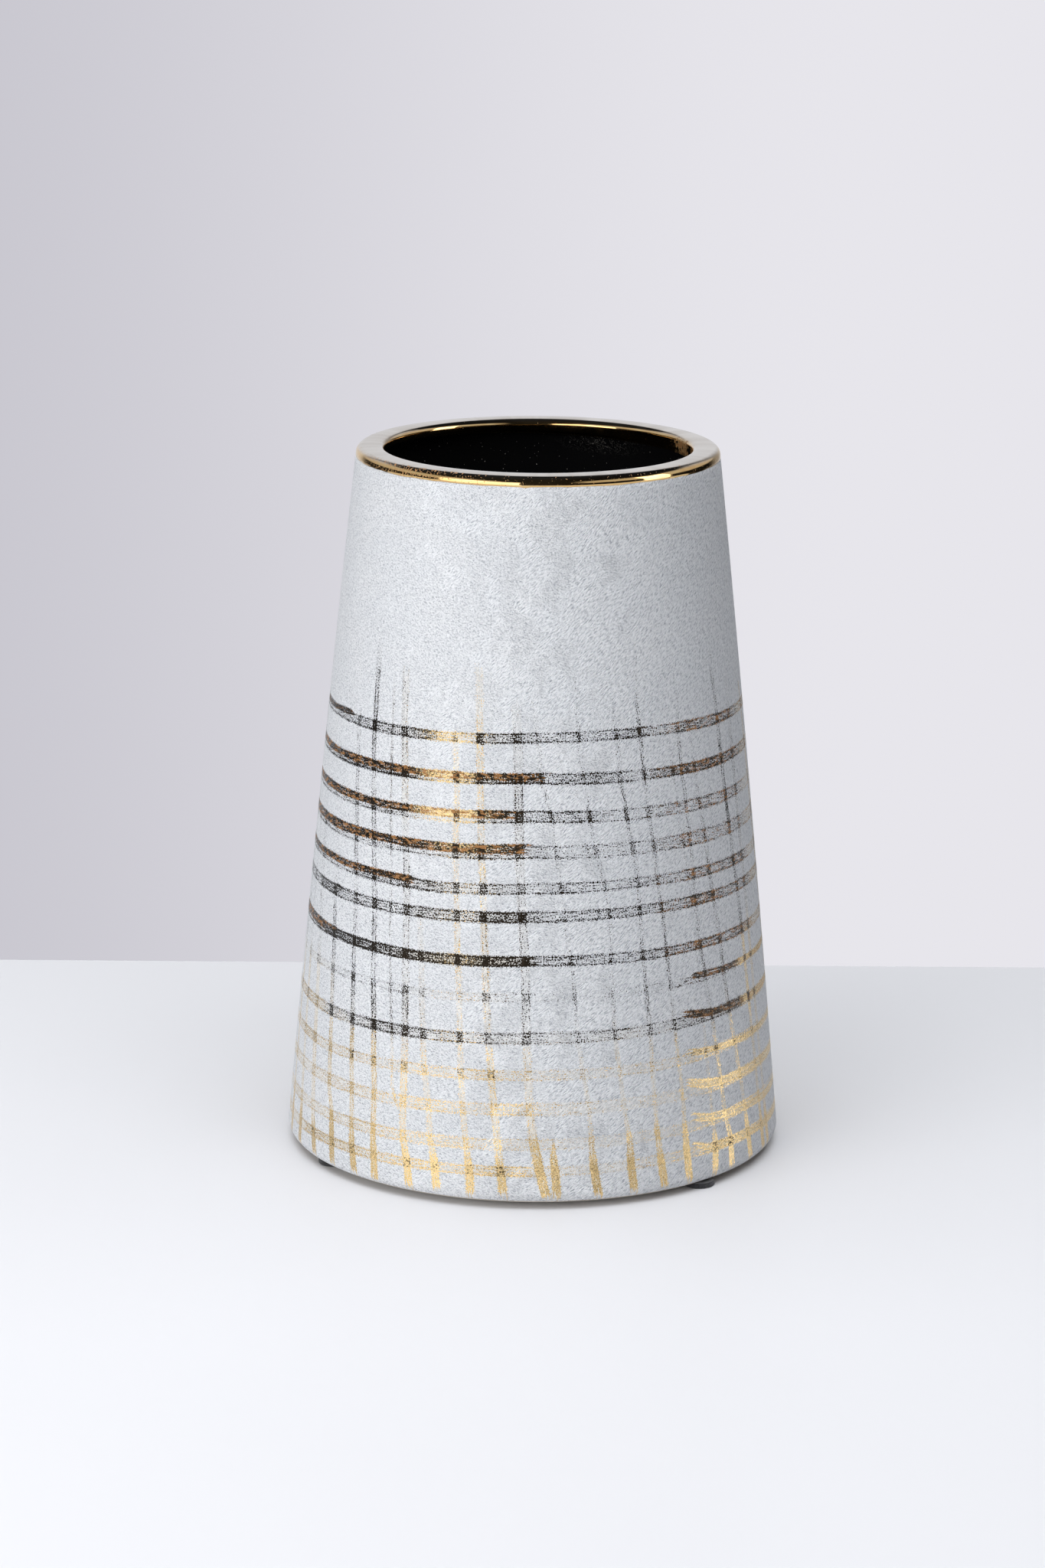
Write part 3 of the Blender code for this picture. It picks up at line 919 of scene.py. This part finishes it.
def dry_clay():
    """Unglazed fired clay: sandy, slightly stained, with sanding marks."""
    finish = Finish("dry_fired_clay")
    sand = finish.noise(finish.place, 3.0, 0.65, 0.0, 1400.0)
    stains = finish.noise(finish.place, 3.0, 0.6, 0.4, 45.0)
    x, y, z = finish.split(finish.place)
    turned = finish.maths("SQRT", finish.plus(finish.times(x, x), finish.times(y, y)))
    rings = finish.vector(finish.times(turned, 900.0), finish.times(z, 300.0), 0.0)
    rubbed = finish.noise(rings, 2.0)
    tone = finish.blend(finish.spread(stains, 0.35, 0.65), (0.66, 0.61, 0.54), (0.56, 0.51, 0.45))
    colour = finish.blend(finish.spread(sand, 0.60, 0.72), tone, (0.33, 0.29, 0.25))
    height = finish.plus(sand, finish.times(rubbed, 0.6))
    finish.set(Base_Color=colour, Roughness=finish.spread(sand, 0.3, 0.7, 0.78, 0.92))
    finish.set(Normal=finish.bump(height, 0.15 * MM, 0.6))
    return finish.material


def black_felt():
    """Pressed black felt: matted fibres with a few pale hairs."""
    finish = Finish("pressed_felt")
    matted = finish.noise(finish.place, 4.0, 0.7, 1.5, 1500.0)
    hairs = finish.noise(finish.place, 1.0, 0.5, 3.0, 900.0)
    pale = finish.spread(finish.absolute(finish.minus(hairs, 0.5)), 0.012, 0.003)
    tone = finish.blend(finish.spread(matted, 0.35, 0.7), (0.012, 0.012, 0.014), (0.045, 0.045, 0.05))
    colour = finish.blend(finish.times(pale, 0.35), tone, (0.20, 0.20, 0.21))
    finish.set(Base_Color=colour, Roughness=finish.spread(matted, 0.3, 0.7, 0.86, 0.98))
    finish.set(Normal=finish.bump(matted, 0.4 * MM, 0.9))
    finish.set(Sheen_Weight=0.25, Sheen_Roughness=0.5)
    return finish.material


def clear_film():
    """The pad's adhesive film, a thin milky plastic."""
    finish = Finish("adhesive_film")
    clouds = finish.noise(finish.place, 2.0, 0.5, 0.0, 400.0)
    colour = finish.blend(finish.spread(clouds, 0.3, 0.7), (0.16, 0.16, 0.16), (0.10, 0.10, 0.105))
    finish.set(Base_Color=colour, Roughness=finish.spread(clouds, 0.3, 0.7, 0.25, 0.4))
    finish.set(Normal=finish.bump(clouds, 0.05 * MM, 0.3))
    return finish.material


# ------------------------------------------------------------------ studio

TABLE_SIZE = (2.4, 1.27, 0.05)
TABLE_MIDDLE = -0.385         # along Y


def table_top():
    """A wide pale slab with a softened edge, which the vase stands near the back of."""
    mesh = bpy.data.meshes.new("table_top")
    bm = bmesh.new()
    bmesh.ops.create_cube(bm, size=1.0, matrix=Matrix.Diagonal((*TABLE_SIZE, 1.0)))
    bmesh.ops.bevel(bm, geom=bm.edges[:], offset=0.004, segments=3, affect="EDGES")
    bmesh.ops.translate(bm, verts=bm.verts, vec=(0.0, TABLE_MIDDLE, -TABLE_SIZE[2] / 2.0))
    bm.to_mesh(mesh)
    bm.free()
    mesh.shade_smooth()
    mesh.set_sharp_from_angle(angle=math.radians(30.0))
    table = add_object("table_top", mesh)
    finish = Finish("satin_white")
    clouds = finish.noise(finish.place, 2.0, 0.5, 0.0, 3.0)
    finish.set(Base_Color=finish.blend(clouds, (0.775, 0.775, 0.79), (0.80, 0.80, 0.815)))
    finish.set(Roughness=finish.spread(clouds, 0.3, 0.7, 0.42, 0.5), Specular_IOR_Level=0.3)
    mesh.materials.append(finish.material)


def studio_world():
    """A pale wall behind the vase and a dark room in front of it, with a glow high up each side."""
    world = bpy.data.worlds.new("studio")
    world.use_nodes = True
    nodes, links = world.node_tree.nodes, world.node_tree.links

    def ramp(source, low, high, start, end):
        """A smooth rise or fall from start to end as the source goes from low to high."""
        made = nodes.new("ShaderNodeMapRange")
        made.interpolation_type = "SMOOTHSTEP"
        for name, value in zip(("From Min", "From Max", "To Min", "To Max"), (low, high, start, end)):
            made.inputs[name].default_value = value
        links.new(source, made.inputs["Value"])
        return made.outputs[0]

    def joined(operation, *sources):
        made = nodes.new("ShaderNodeMath")
        made.operation = operation
        for source, socket in zip(sources, made.inputs):
            links.new(source, socket)
        return made.outputs[0]

    direction = nodes.new("ShaderNodeSeparateXYZ")
    links.new(nodes.new("ShaderNodeTexCoord").outputs["Generated"], direction.inputs[0])
    x, y, z = direction.outputs
    seen = nodes.new("ShaderNodeLightPath")

    # What the viewer sees behind the vase: darker on the left
    backdrop = nodes["Background"]
    paint = nodes.new("ShaderNodeMix")
    paint.data_type = "RGBA"
    links.new(ramp(x, -0.16, 0.08, 0.0, 1.0), paint.inputs[0])
    paint.inputs[6].default_value = (0.57, 0.56, 0.615, 1.0)
    paint.inputs[7].default_value = (0.80, 0.79, 0.835, 1.0)
    links.new(paint.outputs[2], backdrop.inputs["Color"])

    # What lights the vase and shows in its gloss
    room = nodes.new("ShaderNodeBackground")
    room.inputs["Color"].default_value = (0.93, 0.95, 1.0, 1.0)
    wall = joined("MULTIPLY", ramp(y, 0.70, 0.90, 0.02, 0.78), ramp(x, 0.10, 0.42, 1.0, 0.45))
    aside = ramp(joined("ABSOLUTE", x), 0.30, 0.58, 0.0, 0.62)
    raised = joined("MULTIPLY", ramp(z, 0.10, 0.24, 0.0, 1.0), ramp(z, 0.50, 0.66, 1.0, 0.0))
    glow = joined("MULTIPLY", joined("MULTIPLY", aside, raised), seen.outputs["Is Glossy Ray"])
    links.new(joined("MAXIMUM", wall, glow), room.inputs["Strength"])

    choose = nodes.new("ShaderNodeMixShader")
    links.new(seen.outputs["Is Camera Ray"], choose.inputs[0])
    links.new(room.outputs[0], choose.inputs[1])
    links.new(backdrop.outputs[0], choose.inputs[2])
    links.new(choose.outputs[0], nodes["World Output"].inputs["Surface"])
    bpy.context.scene.world = world


AIM_Z = 0.15                  # the height that the lights face
COOL = (0.95, 0.965, 1.0)
WHITE = (1.0, 1.0, 1.0)


def softbox(name, direction, elevation, distance, size, power, glossy=True, diffuse=True, colour=WHITE):
    """A rectangular light that faces the vase."""
    light = bpy.data.lights.new(name, "AREA")
    light.shape = "RECTANGLE"
    light.size, light.size_y = size
    light.energy = power
    light.color = colour
    lamp = add_object(name, light)
    turn, rise = math.radians(direction), math.radians(elevation)
    away = distance * math.cos(rise)
    height = AIM_Z + distance * math.sin(rise)
    lamp.location = (away * math.sin(turn), -away * math.cos(turn), height)
    aim = Vector((0.0, 0.0, AIM_Z)) - lamp.location
    lamp.rotation_euler = aim.to_track_quat("-Z", "Y").to_euler()
    lamp.visible_glossy = glossy
    lamp.visible_diffuse = diffuse


def studio():
    table_top()
    studio_world()
    softbox("key", -37.0, 4.0, 1.6, (1.5, 1.2), 12.0)
    softbox("key_fill", -46.0, 6.0, 1.6, (1.4, 1.3), 10.0, glossy=False)
    softbox("side", 78.0, 12.0, 1.5, (0.55, 1.2), 5.5, diffuse=False)
    softbox("overhead", 0.0, 89.0, 1.6, (2.4, 1.8), 32.0, glossy=False, colour=COOL)
    softbox("overhead_front", 0.0, 58.0, 1.7, (2.0, 1.2), 12.0, glossy=False, colour=COOL)
    bpy.context.scene.view_settings.view_transform = "Standard"


CAMERA_PLACE = Vector((-0.0053, -1.807, 0.6061))
CAMERA_DOWN = 14.16
CAMERA_ROLL = 0.44
CAMERA_LENS = 103.24


def camera():
    data = bpy.data.cameras.new("camera")
    data.lens = CAMERA_LENS
    eye = add_object("camera", data)
    tilt = Matrix.Rotation(math.radians(90.0 - CAMERA_DOWN), 4, "X")
    roll = Matrix.Rotation(math.radians(CAMERA_ROLL), 4, "Z")
    eye.matrix_world = Matrix.Translation(CAMERA_PLACE) @ tilt @ roll
    bpy.context.scene.camera = eye


# ------------------------------------------------------------------ assembly

def place(piece, material, slot, *nodes):
    """Finish a piece: its material, its body and the CAD nodes that it stands for; the slot is not used."""
    piece.data.materials.append(material)
    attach(piece, "root")
    if nodes:
        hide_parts(*nodes)


def main():
    camera()
    studio()
    place(matt_glaze_coat(), matt_glaze(), "matt_glaze", "outer_glaze")
    place(lustre_lip(), gold_lustre(), "gold_lustre", "rim_lustre")
    place(gloss_lining(), black_gloss(), "black_glaze", "inner_glaze")
    place(bare_clay(), dry_clay(), "clay", "clay_body")
    felt, film_finish = black_felt(), clear_film()
    for number in (1, 2, 3, 4):
        pad, film = felt_pad(number)
        place(pad, felt, "felt", "foot_pad_%d" % number)
        place(film, film_finish, "felt")


main()
